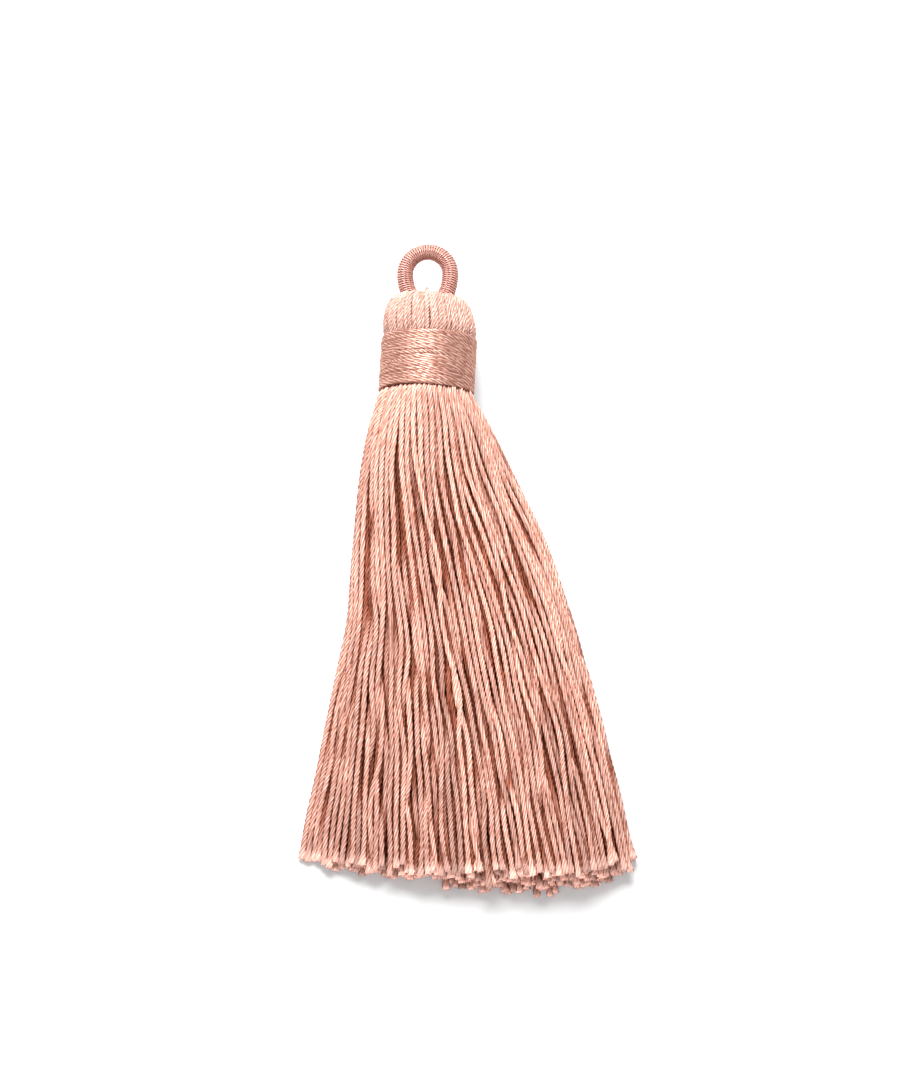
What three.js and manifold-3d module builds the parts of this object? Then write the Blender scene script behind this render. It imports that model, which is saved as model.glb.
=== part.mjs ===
// A silky tassel lying on its side. A bundle of twisted threads is tied at its middle to a thread-wrapped
// ring, folded down all round the tie and bound with a wound band at the neck. The cut threads spread over
// the surface. Units are millimetres and +Z is up. The ring is at the +Y end and the surface is at z = 0.
import * as THREE from "three";
import { mergeVertices } from "three/addons/utils/BufferGeometryUtils.js";
import Module from "manifold-3d";

const wasm = await Module();
wasm.setup();

// Clearance between neighbouring pieces
const FIT_GAP = 0.34;

// The neck's axis: its height over the surface, and how far the head and band lean from +Y towards +X
const AXIS_HEIGHT = 5.2;
const HEAD_LEAN_DEG = 3.2;

// Head, neck and band are slightly flattened: their height is this share of their width
const FLATTENING = 0.92;

// The ring: its egg-shaped centre line has a half width, and a reach above and below its widest point
const RING = { tubeRadius: 1.0, halfWidth: 2.78, reachUp: 2.78, reachDown: 4.25, x: -0.05, y: 11.05, z: 5.5 };
const RING_SIDES = 12;
const RING_STEPS = 44;

// The band: a sleeve of wound turns around the neck, cut flat where it rests on the surface
const BAND = { top: 3.1, bottom: -4.1, radius: 5.8, wall: 0.5, turns: 13, groove: 0.09 };
const BAND_SEGMENTS = 48;

// The head: radius of the folded threads along the axis, from the crown down to the band
const HEAD_ROWS = [
  { y: 8.75, radius: 0 },
  { y: 8.75, radius: 2.2 },
  { y: 8.6, radius: 3.5 },
  { y: 8.2, radius: 4.4 },
  { y: 7.2, radius: 4.98 },
  { y: 5.6, radius: 5.45 },
  { y: 4.2, radius: 5.62 },
  { y: BAND.top + FIT_GAP, radius: 5.55 },
  { y: BAND.top + FIT_GAP, radius: 0 },
];
const HEAD_RIDGES = 44;
const HEAD_GROOVE = 0.18;

// The neck: what the band grips, then the shoulder that the strands grow out of
const NECK_RADIUS = BAND.radius - BAND.wall - FIT_GAP;
const NECK_ROWS = [
  { y: 5, radius: 0 },
  { y: 5, radius: NECK_RADIUS },
  { y: BAND.bottom - FIT_GAP, radius: NECK_RADIUS },
  { y: BAND.bottom - 0.6, radius: 5.45 },
  { y: BAND.bottom - 1.6, radius: 5.4 },
  { y: BAND.bottom - 3.4, radius: 4.3 },
  { y: BAND.bottom - 3.4, radius: 0 },
];
const NECK_SEGMENTS = 28;

// The skirt at distances along Y: its left and right edge, its height, and how far it has settled on the
// surface, from 0 where it is as round as the neck to 1 where it lies flat
const SKIRT_ROWS = [
  { y: -4.8, left: -5.85, right: 5.6, top: 10.2, settled: 0 },
  { y: -8.2, left: -7.15, right: 7.7, top: 9.6, settled: 0.1 },
  { y: -13.5, left: -8.2, right: 10.4, top: 8.5, settled: 0.6 },
  { y: -21.5, left: -9.0, right: 13.9, top: 6.8, settled: 1 },
  { y: -32, left: -10.0, right: 17.8, top: 5.3, settled: 1 },
  { y: -46, left: -12.6, right: 21.8, top: 3.9, settled: 1 },
  { y: -67, left: -16.9, right: 26.7, top: 2.8, settled: 1 },
];
const EDGE_FULLNESS = 2.2;
const HEAP_ROUNDNESS = 0.8;

// Where the strands are cut, across the skirt, and how much shorter the topmost ones are than the lowest
const CUT_ROWS = [
  { x: -15.4, y: -59.9, step: 0.2 },
  { x: -7, y: -61.9, step: 0.4 },
  { x: 1, y: -63.4, step: 0.8 },
  { x: 7, y: -64.8, step: 1.9 },
  { x: 13, y: -65.0, step: 2.2 },
  { x: 19, y: -63.9, step: 1.8 },
  { x: 23, y: -62.5, step: 1.2 },
  { x: 25, y: -60.4, step: 0.4 },
];
const CUT_SCATTER = 0.45;

// A strand is a three-sided lock with its flat side down
const STRAND_WIDTH = 0.66;
const STRAND_HEIGHT = 0.58;
const STRAND_FOOT = STRAND_HEIGHT / 3; // from a strand's centre down to its flat side
const STRAND_PITCH = 0.74;
const STRAND_WANDER = 0.55;
const NEAR_SURFACE = 0.08; // a strand that comes as near to the surface as this lies on it

// The strands' paths are eased into place round by round, and in the last rounds only spread apart
const EASING_ROUNDS = 260;
const SPREADING_ROUNDS = 120;
const EASING_PACE = 0.12;
const EASING_AIM = 0.3;

// Repeatable random numbers from 0 to 1
function randomSource(seed) {
  let state = seed;
  return () => {
    state = (state * 1664525 + 1013904223) % 4294967296;
    return state / 4294967296;
  };
}

const mix = (from, to, share) => from + share * (to - from);

// The value of a named column at a place along a table whose rows rise in x
function tableValue(rows, x, column) {
  const at = THREE.MathUtils.clamp(x, rows[0].x, rows[rows.length - 1].x);
  const next = Math.max(1, rows.findIndex((row) => row.x >= at));
  const before = rows[next - 1];
  return mix(before[column], rows[next][column], (at - before.x) / (rows[next].x - before.x));
}

function solidOf(geometry) {
  const bare = geometry.clone();
  bare.deleteAttribute("normal");
  bare.deleteAttribute("uv");
  const merged = mergeVertices(bare, 1e-4);
  return new wasm.Manifold(
    new wasm.Mesh({
      numProp: 3,
      vertProperties: new Float32Array(merged.attributes.position.array),
      triVerts: new Uint32Array(merged.index.array),
    }),
  );
}

function geometryOf(solid) {
  const mesh = solid.getMesh();
  const geometry = new THREE.BufferGeometry();
  geometry.setAttribute("position", new THREE.BufferAttribute(mesh.vertProperties, 3));
  geometry.setIndex(new THREE.BufferAttribute(mesh.triVerts, 1));
  geometry.computeVertexNormals();
  return geometry;
}

// A closed outline turned around the tassel's axis, with a groove at every other segment, flattened, leant
// and lifted to its place
function turned(outline, segments, groove = 0) {
  const geometry = new THREE.LatheGeometry(outline, segments);
  const position = geometry.attributes.position;
  for (let i = 0; i < position.count; i += 1) {
    const radius = Math.hypot(position.getX(i), position.getZ(i));
    const column = Math.floor(i / outline.length);
    if (column % 2 === 0 || radius <= 4 * groove) continue;
    const scale = 1 - groove / radius;
    position.setX(i, scale * position.getX(i));
    position.setZ(i, scale * position.getZ(i));
  }
  geometry.scale(1, 1, FLATTENING);
  geometry.rotateZ(-THREE.MathUtils.degToRad(HEAD_LEAN_DEG));
  geometry.translate(0, 0, AXIS_HEIGHT);
  return geometry;
}

// An outline's points from a table that runs down the axis
const outlineOf = (rows) => rows.map((row) => new THREE.Vector2(row.radius, row.y)).reverse();

// The ring's tube around its egg-shaped centre line
function ringGeometry(tubeRadius) {
  const geometry = new THREE.TorusGeometry(RING.halfWidth, tubeRadius, RING_SIDES, RING_STEPS);
  const position = geometry.attributes.position;
  for (let i = 0; i < position.count; i += 1) {
    const angle = Math.atan2(position.getY(i), position.getX(i));
    const outwards = Math.hypot(position.getX(i), position.getY(i)) - RING.halfWidth;
    const reach = Math.sin(angle) > 0 ? RING.reachUp : RING.reachDown;
    const facing = new THREE.Vector2(reach * Math.cos(angle), RING.halfWidth * Math.sin(angle)).normalize();
    position.setXYZ(
      i,
      RING.x + RING.halfWidth * Math.cos(angle) + outwards * facing.x,
      RING.y + reach * Math.sin(angle) + outwards * facing.y,
      RING.z + position.getZ(i),
    );
  }
  return geometry;
}

function bandGeometry() {
  const bore = BAND.radius - BAND.wall;
  const turn = (BAND.top - BAND.bottom) / BAND.turns;
  const outline = [new THREE.Vector2(bore, BAND.bottom)];
  for (let i = 0; i < BAND.turns; i += 1) {
    const low = BAND.bottom + i * turn;
    outline.push(new THREE.Vector2(BAND.radius - BAND.groove, low));
    outline.push(new THREE.Vector2(BAND.radius, low + turn / 2));
  }
  outline.push(new THREE.Vector2(BAND.radius - BAND.groove, BAND.top));
  outline.push(new THREE.Vector2(bore, BAND.top));
  outline.push(outline[0].clone());
  const size = 4 * BAND.radius;
  const underTheSurface = new THREE.BoxGeometry(size, size, size).translate(0, 0, -size / 2);
  return geometryOf(solidOf(turned(outline, BAND_SEGMENTS)).subtract(solidOf(underTheSurface)));
}

// Bottom and top of the skirt in one row, at u from -1 at its left edge to 1 at its right edge
function skirtSpan(row, u) {
  const out = Math.min(1, Math.abs(u));
  const middle = AXIS_HEIGHT - (SKIRT_ROWS[0].top - row.top) / 2;
  const arch = (row.top - middle) * Math.sqrt(1 - out ** 2);
  const heap = (1 - out ** EDGE_FULLNESS) ** HEAP_ROUNDNESS;
  return {
    bottom: (1 - row.settled) * Math.max(0, middle - arch),
    top: mix(middle + arch, mix(STRAND_HEIGHT, row.top, heap), row.settled),
  };
}

// How much of a row's area lies to the left of evenly spaced values of u, as shares from 0 to 1
const AREA_CELLS = 80;

function areaShares(row) {
  const sums = [0];
  for (let i = 0; i < AREA_CELLS; i += 1) {
    const { bottom, top } = skirtSpan(row, -1 + (2 * i + 1) / AREA_CELLS);
    sums.push(sums[i] + top - bottom);
  }
  return sums.map((sum) => sum / sums[AREA_CELLS]);
}

function shareLeftOf(shares, u) {
  const cell = (AREA_CELLS * (u + 1)) / 2;
  const whole = Math.floor(cell);
  return mix(shares[whole], shares[whole + 1], cell - whole);
}

function placeOfShare(shares, share) {
  const next = Math.max(1, shares.findIndex((value) => value >= share));
  const within = (share - shares[next - 1]) / (shares[next] - shares[next - 1]);
  return -1 + (2 * (next - 1 + within)) / AREA_CELLS;
}

// Where the strands stand in the neck, in a honeycomb: the share of the skirt to their left, and the share
// of its height below them
function neckPlaces() {
  const row = SKIRT_ROWS[0];
  const shares = areaShares(row);
  const middle = (row.left + row.right) / 2;
  const half = (row.right - row.left) / 2;
  const rise = STRAND_PITCH * Math.sin(Math.PI / 3);
  const margin = 0.03;
  const places = [];
  for (let level = 0; level * rise < row.top; level += 1) {
    const start = row.left + (level % 2 ? STRAND_PITCH / 2 : 0);
    for (let x = start; x < row.right; x += STRAND_PITCH) {
      const u = (x - middle) / half;
      if (Math.abs(u) > 1 - margin) continue;
      const { bottom, top } = skirtSpan(row, u);
      const up = (STRAND_FOOT + level * rise - bottom) / (top - bottom);
      if (up > margin && up < 1 - margin) places.push({ across: shareLeftOf(shares, u), up });
    }
  }
  return places;
}

// Every strand's path, with one point in each row of the skirt
function strandPaths() {
  const random = randomSource(7);
  const shares = SKIRT_ROWS.map(areaShares);
  const last = SKIRT_ROWS.length - 1;
  const strands = neckPlaces().map(({ across, up }) => {
    const wander = STRAND_WANDER * (2 * random() - 1);
    const points = SKIRT_ROWS.map((row, s) => {
      const u = placeOfShare(shares[s], across);
      const { bottom, top } = skirtSpan(row, u);
      return {
        x: mix(row.left, row.right, (u + 1) / 2) + (wander * s) / last,
        z: bottom + STRAND_FOOT + up * (top - bottom - STRAND_HEIGHT),
      };
    });
    return { up, points, aims: points.map((point) => ({ ...point })) };
  });
  for (let round = 0; round < EASING_ROUNDS + SPREADING_ROUNDS; round += 1) {
    if (round < EASING_ROUNDS) strands.forEach(ease);
    for (let s = 0; s < last; s += 1) {
      for (const share of [0.25, 0.5, 0.75, 1]) spread(strands, s, share);
      settle(strands, s + 1);
    }
  }
  return strands;
}

// Draws a path towards its aims, and towards the curve that its aims have between neighbouring rows
function ease({ points, aims }) {
  for (let s = 1; s < points.length; s += 1) {
    for (const axis of ["x", "z"]) {
      let goal = aims[s][axis];
      if (s + 1 < points.length) {
        const share = (SKIRT_ROWS[s].y - SKIRT_ROWS[s - 1].y) / (SKIRT_ROWS[s + 1].y - SKIRT_ROWS[s - 1].y);
        const bend = aims[s][axis] - mix(aims[s - 1][axis], aims[s + 1][axis], share);
        const fair = mix(points[s - 1][axis], points[s + 1][axis], share) + bend;
        goal = mix(fair, goal, EASING_AIM);
      }
      points[s][axis] = mix(points[s][axis], goal, EASING_PACE);
    }
  }
}

// Moves strands apart to their pitch where they crowd, at a share of the way from row s to the next
function spread(strands, s, share) {
  const weight = share * share + (1 - share) * (1 - share);
  const spots = strands.map(({ points }) => ({
    x: mix(points[s].x, points[s + 1].x, share),
    z: mix(points[s].z, points[s + 1].z, share),
  }));
  const move = (i, x, z) => {
    spots[i].x += x;
    spots[i].z += z;
    const { points } = strands[i];
    points[s + 1].x += (share / weight) * x;
    points[s + 1].z += (share / weight) * z;
    if (s === 0) return;
    points[s].x += ((1 - share) / weight) * x;
    points[s].z += ((1 - share) / weight) * z;
  };
  for (let i = 0; i < strands.length; i += 1) {
    for (let j = i + 1; j < strands.length; j += 1) {
      const dx = spots[j].x - spots[i].x;
      if (Math.abs(dx) >= STRAND_PITCH) continue;
      const dz = spots[j].z - spots[i].z;
      const distance = Math.max(1e-6, Math.hypot(dx, dz));
      if (distance >= STRAND_PITCH) continue;
      const push = (STRAND_PITCH - distance) / distance / 2;
      move(i, -push * dx, -push * dz);
      move(j, push * dx, push * dz);
    }
  }
}

// Keeps the strands inside the skirt's outline in one row, and the lowest ones on the surface
function settle(strands, s) {
  const row = SKIRT_ROWS[s];
  for (const { points } of strands) {
    const point = points[s];
    point.x = THREE.MathUtils.clamp(point.x, row.left + STRAND_WIDTH / 2, row.right - STRAND_WIDTH / 2);
    const u = (2 * point.x - row.left - row.right) / (row.right - row.left);
    const lowest = skirtSpan(row, u).bottom + STRAND_FOOT;
    if (point.z < lowest + NEAR_SURFACE) point.z = lowest;
  }
}

// One strand as a closed three-sided prism along its path, cut off as the table of cuts says
function strandGeometry({ up, points }, random) {
  const sections = points.map((point, s) => ({ ...point, y: SKIRT_ROWS[s].y }));
  const beyond = sections.pop();
  const before = sections[sections.length - 1];
  const lowestCut = tableValue(CUT_ROWS, beyond.x, "y") + CUT_SCATTER * (2 * random() - 1);
  const cut = lowestCut + up * tableValue(CUT_ROWS, beyond.x, "step");
  const share = (cut - before.y) / (beyond.y - before.y);
  sections.push({ x: mix(before.x, beyond.x, share), y: cut, z: mix(before.z, beyond.z, share) });

  const vertices = [];
  for (const { x, y, z } of sections) {
    vertices.push(x - STRAND_WIDTH / 2, y, z - STRAND_FOOT);
    vertices.push(x + STRAND_WIDTH / 2, y, z - STRAND_FOOT);
    vertices.push(x, y, z + STRAND_HEIGHT - STRAND_FOOT);
  }
  const faces = [0, 2, 1];
  for (let s = 0; s + 1 < sections.length; s += 1) {
    for (let side = 0; side < 3; side += 1) {
      const a = 3 * s + side;
      const b = 3 * s + ((side + 1) % 3);
      faces.push(a, b, a + 3, b, b + 3, a + 3);
    }
  }
  const end = 3 * (sections.length - 1);
  faces.push(end, end + 1, end + 2);

  const geometry = new THREE.BufferGeometry();
  geometry.setAttribute("position", new THREE.Float32BufferAttribute(vertices, 3));
  geometry.setIndex(faces);
  return geometry;
}

// Head, neck and strands are one bundle of threads, with a way through the head for the ring
function bundleGeometry() {
  const random = randomSource(19);
  const head = solidOf(turned(outlineOf(HEAD_ROWS), 2 * HEAD_RIDGES, HEAD_GROOVE));
  const neck = solidOf(turned(outlineOf(NECK_ROWS), NECK_SEGMENTS));
  const strands = strandPaths().map((strand) => solidOf(strandGeometry(strand, random)));
  const ringWay = solidOf(ringGeometry(RING.tubeRadius + FIT_GAP));
  return geometryOf(wasm.Manifold.union([head, neck, ...strands]).subtract(ringWay));
}

function piece(name, geometry, color) {
  const finish = { color, roughness: 0.45, metalness: 0, flatShading: true };
  const mesh = new THREE.Mesh(geometry, new THREE.MeshStandardMaterial(finish));
  mesh.name = name;
  return mesh;
}

const tassel = new THREE.Group();
tassel.add(
  piece("thread_bundle", bundleGeometry(), 0xdca18c),
  piece("neck_band", bandGeometry(), 0xc9927f),
  piece("hanging_ring", ringGeometry(RING.tubeRadius), 0xd99c8a),
);

// The origin is on the surface, below the middle of the whole tassel
const middle = new THREE.Box3().setFromObject(tassel, true).getCenter(new THREE.Vector3());
tassel.position.set(-middle.x, -middle.y, 0);

const part = new THREE.Group();
part.add(tassel);
export default part;
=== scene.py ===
# %% [markdown]
# # A silky tassel lying on a white surface
#
# A tassel is one bundle of twisted threads. The bundle is tied at its middle to a small ring, folded down
# all round the tie, bound with more thread at the neck, and cut straight across at the bottom.
#
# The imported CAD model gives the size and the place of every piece. It is loaded first and stays fixed. Each
# piece made here lies where its CAD node lies, and takes its place in the picture.

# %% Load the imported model
import math

import bpy
import numpy as np
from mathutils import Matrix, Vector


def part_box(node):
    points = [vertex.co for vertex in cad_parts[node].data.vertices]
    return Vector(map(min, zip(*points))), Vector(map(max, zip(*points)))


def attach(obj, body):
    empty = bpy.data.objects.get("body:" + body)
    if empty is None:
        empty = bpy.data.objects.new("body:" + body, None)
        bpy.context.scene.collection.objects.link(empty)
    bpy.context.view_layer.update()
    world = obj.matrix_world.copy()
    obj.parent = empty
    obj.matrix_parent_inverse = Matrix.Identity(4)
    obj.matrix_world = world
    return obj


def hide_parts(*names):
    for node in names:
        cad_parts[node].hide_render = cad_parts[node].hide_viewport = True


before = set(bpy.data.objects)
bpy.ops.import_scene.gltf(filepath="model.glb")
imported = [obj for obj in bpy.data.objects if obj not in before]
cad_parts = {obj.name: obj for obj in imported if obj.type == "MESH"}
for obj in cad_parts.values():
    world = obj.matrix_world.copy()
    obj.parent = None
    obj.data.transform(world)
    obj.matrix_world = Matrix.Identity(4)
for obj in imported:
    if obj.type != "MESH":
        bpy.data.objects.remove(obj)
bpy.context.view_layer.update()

bpy.ops.object.select_all(action="DESELECT")
print("CAD nodes:", sorted(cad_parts))

# %% [markdown]
# ## Measures
#
# All tables below are in millimetres, measured from the middle of the neck: x runs across the tassel, y
# along it towards the ring, and z up from the surface. Blender works in metres, so points are only turned
# into metres and moved to the CAD's place at the very end, by one helper. The place comes from the CAD
# band's box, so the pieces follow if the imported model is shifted.

# %% Where the neck's middle is
MM = 0.001
BAND_BOX_MIDDLE = np.array([-0.028, -0.5, 0.0])  # of the CAD band, seen from the middle of the neck

low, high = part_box("neck_band")
NECK_MIDDLE = (np.array(low) + np.array(high)) / 2 / MM - BAND_BOX_MIDDLE
NECK_MIDDLE[2] = 0.0


def placed(points):
    """Millimetres from the neck's middle, as metres in the CAD frame."""
    return (np.asarray(points, float) + NECK_MIDDLE) * MM


print("the neck's middle is at", NECK_MIDDLE.round(3), "mm")

# %% The main sizes
AXIS_HEIGHT = 5.2  # of the neck's axis over the surface
LEAN = math.radians(3.2)  # of the head and band, from +y towards +x
FLATTENING = 0.92  # height of the head and band as a share of their width

THREAD_RADIUS = 0.335
TWIST_PITCH = 4.2  # length of thread in one full turn of its plies
STEPS_IN_A_TURN = 10
STEP_LENGTH = TWIST_PITCH / STEPS_IN_A_TURN
UP = np.array([0.0, 0.0, 1.0])


def leant(points):
    """Points around an upright neck, with y along it, flattened, leant and lifted to their place."""
    x, y, z = np.moveaxis(np.asarray(points, float), -1, 0)
    c, s = math.cos(LEAN), math.sin(LEAN)
    return np.stack([c * x + s * y, c * y - s * x, FLATTENING * z + AXIS_HEIGHT], axis=-1)


# %% [markdown]
# ## How a thread is made
#
# The thread has five plies twisted around each other, which gives the rows of small slanting highlights.
# These come partly from the plies' shape and partly from a highlight painted on their crowns, with painted
# shade in the grooves. It could be a round tube with a twisted bump, but then its outline would stay straight
# and the light would not catch on each ply. Here its section has five crowns with grooves between them, and
# the section is turned a little at each step along the path. The faces follow the plies, so few are needed:
# ten around the thread and ten steps for a turn. The roundness of each ply is left to the bump in its finish.
# The ring is wrapped with a finer thread of three plies.
#
# There are hundreds of threads, so they are not separate objects. All threads of one kind are worked out
# together as arrays and become one mesh.

# %% Sections of a thread
# How far the section's points are from its middle, as a share of the radius: crowns and grooves
FIVE_PLIES = np.array([1.06, 0.83] * 5)
THREE_PLIES = np.array([1.0, 0.8] * 3)
FLAT_PLY = 0.95  # where grooves end up when the plies lose their shape at a cut


def unit(vectors):
    return vectors / np.linalg.norm(vectors, axis=-1, keepdims=True)


def running_mean(rows, width):
    """The mean of every stretch of so many rows."""
    return np.mean([rows[start:start + len(rows) - width + 1] for start in range(width)], axis=0)


def read_off(places, known, table):
    """Every column of a table, read off between the places where it is known."""
    columns = [np.interp(places, known, column) for column in table.reshape(len(known), -1).T]
    return np.stack(columns, axis=-1).reshape(len(places), *table.shape[1:])


def length_so_far(line):
    return np.concatenate([[0], np.cumsum(np.linalg.norm(np.diff(line, axis=0), axis=1))])


def twisted(paths, reference, wide, thick, turns, section=FIVE_PLIES, roundness=0.0):
    """Points of threads that follow paths, shaped (threads, steps, points around, 3).

    wide and thick are half the thread's size across the reference direction and along it, turns is how far
    the plies have turned at each step, and roundness how far the grooves are filled. A thread is pressed
    flat where it would go under the surface."""
    along = unit(np.gradient(paths, axis=1))
    across = unit(np.cross(along, reference))
    over = np.cross(across, along)
    count = len(section)
    angle = 2 * np.pi * (np.arange(count) / count - turns[..., None])
    shape = section + (np.maximum(section, FLAT_PLY) - section) * roundness
    tubes = paths[:, :, None] + (
        (wide * shape * np.cos(angle))[..., None] * across[:, :, None]
        + (thick * shape * np.sin(angle))[..., None] * over[:, :, None]
    )
    tubes[..., 2] = tubes[..., 2].clip(0)
    return tubes


# %% The faces of a tube
def tube_faces(threads, steps, count):
    """Faces of capped tubes as vertex numbers, with the column and row of each corner for the UV map."""
    ring, step = np.arange(count), np.arange(steps - 1)[:, None]
    whole = (steps - 1, count, 4)
    column = np.broadcast_to(np.stack([ring, ring, ring + 1, ring + 1], axis=-1), whole).reshape(-1, 4)
    row = np.broadcast_to(np.stack([step, step + 1, step + 1, step], axis=-1), whole).reshape(-1, 4)
    side = row * count + column % count

    # Each cap is a fan of four-cornered faces around one more point at the tube's end
    fan = np.arange(0, count, 2)[:, None] + np.arange(3)
    start_cap = np.insert(fan % count, 0, steps * count, axis=1)
    end_cap = np.insert(fan[:, ::-1] % count + (steps - 1) * count, 0, steps * count + 1, axis=1)
    cap_column = np.insert(fan, 0, count // 2, axis=1)
    faces = np.concatenate([side, start_cap, end_cap])
    columns = np.concatenate([column, cap_column, cap_column])
    rows = np.concatenate([row, np.zeros_like(start_cap), np.full_like(end_cap, steps - 1)])
    smooth = np.arange(len(faces)) < len(side)

    size = steps * count + 2
    thread = np.arange(threads)[:, None, None]
    return (
        (faces[None] + thread * size).reshape(-1, 4),
        np.tile(columns, (threads, 1)),
        np.tile(rows, (threads, 1)),
        np.tile(smooth, threads),
    )


# %% From arrays to a mesh
def mesh_object(name, points, faces, smooth):
    """A new object at the origin from arrays of points in metres and faces with equally many corners."""
    mesh = bpy.data.meshes.new(name)
    mesh.vertices.add(len(points))
    mesh.vertices.foreach_set("co", points.astype(np.float32).ravel())
    corners = faces.shape[1]
    mesh.loops.add(faces.size)
    mesh.loops.foreach_set("vertex_index", faces.astype(np.int32).ravel())
    mesh.polygons.add(len(faces))
    mesh.polygons.foreach_set("loop_start", np.arange(0, faces.size, corners, dtype=np.int32))
    mesh.polygons.foreach_set("use_smooth", np.broadcast_to(smooth, len(faces)).tolist())
    mesh.update(calc_edges=True)
    piece = bpy.data.objects.new(name, mesh)
    bpy.context.scene.collection.objects.link(piece)
    return piece


def set_attribute(piece, name, values):
    layer = piece.data.attributes.new(name, "FLOAT", "POINT")
    layer.data.foreach_set("value", np.asarray(values, np.float32).ravel())


# %% Threads with their measures for the finish
PLY_AT_A_CAP = 0.5  # neither groove nor crown
OUTER_AT_A_CAP = 0.8
UV_SHIFT = 7.31  # in turns, from one thread's map to the next, so that no two threads look the same


def thread_object(name, tubes, outwards, tone_and_light=0, end=0, sunk=0, free=0, steps_in_a_turn=STEPS_IN_A_TURN):
    """Threads as one mesh. outwards points away from what they lie on, tone_and_light is how light each step
    is, by its own tone and by painted light and shade, end how near it is to a cut, sunk how deep it lies
    among its neighbours, which the finish shows as painted shade, and free how much light gets in beside it."""
    threads, steps, count, _ = tubes.shape
    crown = 1.0 - np.arange(count) % 2  # 1 on the crown of a ply and 0 in the groove
    direction = np.broadcast_to(unit(outwards), (threads, steps, 3))[:, :, None]
    outer = ((tubes - tubes.mean(axis=2, keepdims=True)) * direction).sum(axis=-1)
    outer /= outer.max(axis=2, keepdims=True)  # 1 along the thread's outer side and 0 beside its neighbours
    outer += (1 - outer) * np.broadcast_to(free, (threads, steps))[:, :, None]
    caps = tubes[:, [0, -1]].mean(axis=2)
    points = np.concatenate([tubes.reshape(threads, -1, 3), caps], axis=1).reshape(-1, 3)
    faces, column, row, smooth = tube_faces(threads, steps, count)
    piece = mesh_object(name, placed(points), faces, smooth)

    def carry(attribute, values, at_a_cap=None):
        """Gives each point its value. A cap's middle has that of its end of the thread, if none is given."""
        whole = np.broadcast_to(values, (threads, steps, count))
        ends = whole[:, [0, -1], 0] if at_a_cap is None else np.full((threads, 2), at_a_cap)
        set_attribute(piece, attribute, np.concatenate([whole.reshape(threads, -1), ends], axis=1))

    carry("ply_crown", crown, PLY_AT_A_CAP)
    carry("outer_side", outer, OUTER_AT_A_CAP)
    for attribute, values in (("tone_and_painted_light", tone_and_light), ("cut_end", end), ("sunk", sunk)):
        carry(attribute, np.broadcast_to(values, (threads, steps))[:, :, None])
    uv = piece.data.uv_layers.new(name="thread")
    shift = np.repeat(np.arange(threads) * UV_SHIFT, len(column) // threads)[:, None]
    corners = np.stack([column / count, row / steps_in_a_turn + shift], axis=-1)
    uv.data.foreach_set("uv", corners.astype(np.float32).ravel())
    print(f"{name}: {threads} threads, {2 * len(faces)} triangles")
    return piece


# %% [markdown]
# ## The skirt: where every thread lies
#
# Under the band the threads are packed in rings, as they were folded. Below it they spread sideways and
# sink until they lie about four deep on the surface. A hair or cloth simulation could do this, but it is
# slow and hard to keep within the CAD's outline. A simpler way is used: each thread keeps its share of the
# skirt to its left and below it while the outline changes from round to flat. That keeps neighbours
# together.
#
# Waves are then added, wide ones that gather threads into locks and small ones of each thread alone, and
# the threads are pushed apart wherever two come nearer than one thickness. Here and there a thread keeps a
# wider berth, and that leaves the long dark slits that make a tassel look real. Painted shade on the threads
# that lie deep darkens the slits further.

# %% The skirt's outline
# y, left edge, right edge, top, underside where it is round, how far it has settled on the surface, and how
# much more of it lies at its right side than at its left
SKIRT = np.array([
    (-2.6, -5.2, 4.95, 9.75, 0.65, 0.0, 0.0),
    (-3.9, -5.5, 5.05, 10.38, 0.5, 0.0, 0.0),
    (-4.3, -6.05, 5.45, 10.72, 0.2, 0.0, 0.0),
    (-4.8, -6.15, 5.45, 10.7, 0.15, 0.0, 0.0),
    (-8.2, -7.35, 7.8, 9.9, 0.1, 0.1, -0.12),
    (-13.5, -8.45, 10.65, 8.7, 0.0, 0.6, -0.36),
    (-21.5, -9.15, 14.5, 7.0, 0.0, 1.0, -0.28),
    (-32.0, -10.0, 18.0, 5.6, 0.0, 1.0, -0.06),
    (-46.0, -12.8, 21.8, 4.5, 0.0, 1.0, 0.3),
    (-67.0, -17.1, 26.4, 3.4, 0.0, 1.0, 0.56),
])
EDGE_FULLNESS = 3.0
HEAP_ROUNDNESS = 0.8  # under 1 is flatter on top and steeper at the edges

NEAR_THE_NECK = [-2.6, -3.9, -4.3, -4.8, -6.2, -8.2, -10.5, -13.0, -15.5, -18.5]
STATIONS = np.array([*NEAR_THE_NECK, *np.linspace(-21.5, -67.5, 19)])
MID_SKIRT = 14  # the number of a station
BEFORE_THE_CUT = -3
LEFT, RIGHT, TOP, FOOT, SETTLED, SKEW = read_off(-STATIONS, -SKIRT[:, 0], SKIRT[:, 1:]).T[..., None]
print("outline at", len(STATIONS), "stations")


def skirt_span(u):
    """Underside and top of the skirt at each station, at u from -1 at its left edge to 1 at its right."""
    out = np.clip(np.abs(u), 0, 1)
    middle, half = (TOP + FOOT) / 2, (TOP - FOOT) / 2
    arch = half * np.sqrt(1 - out**2)
    heap = (1 - out**EDGE_FULLNESS) ** HEAP_ROUNDNESS
    flat_top = 2 * THREAD_RADIUS + (TOP - 2 * THREAD_RADIUS) * heap
    bottom = (1 - SETTLED) * (middle - arch)
    height = (1 - SETTLED) * (middle + arch) + SETTLED * flat_top - bottom
    return bottom, bottom + height * (1 + SKEW * u)


GRID = np.linspace(-1, 1, 401)
underside, topside = skirt_span(GRID[None, :])
area = np.cumsum(topside - underside, axis=1)
SHARES = (area - area[:, :1]) / (area[:, -1:] - area[:, :1])

# %% The threads' places in the neck
random = np.random.default_rng(11)
INNERMOST_RING = 2.0  # threads nearer to the middle of the neck never show
RING_SPACINGS = [0.53, 0.55, 0.6]  # from thread to thread around the outermost rings and all others
RING_TO_RING = 0.52
ASTRAY_AROUND = 0.18  # how far a thread may stray around its ring, as a share of the spacing
ASTRAY_INWARDS = 0.12


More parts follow.
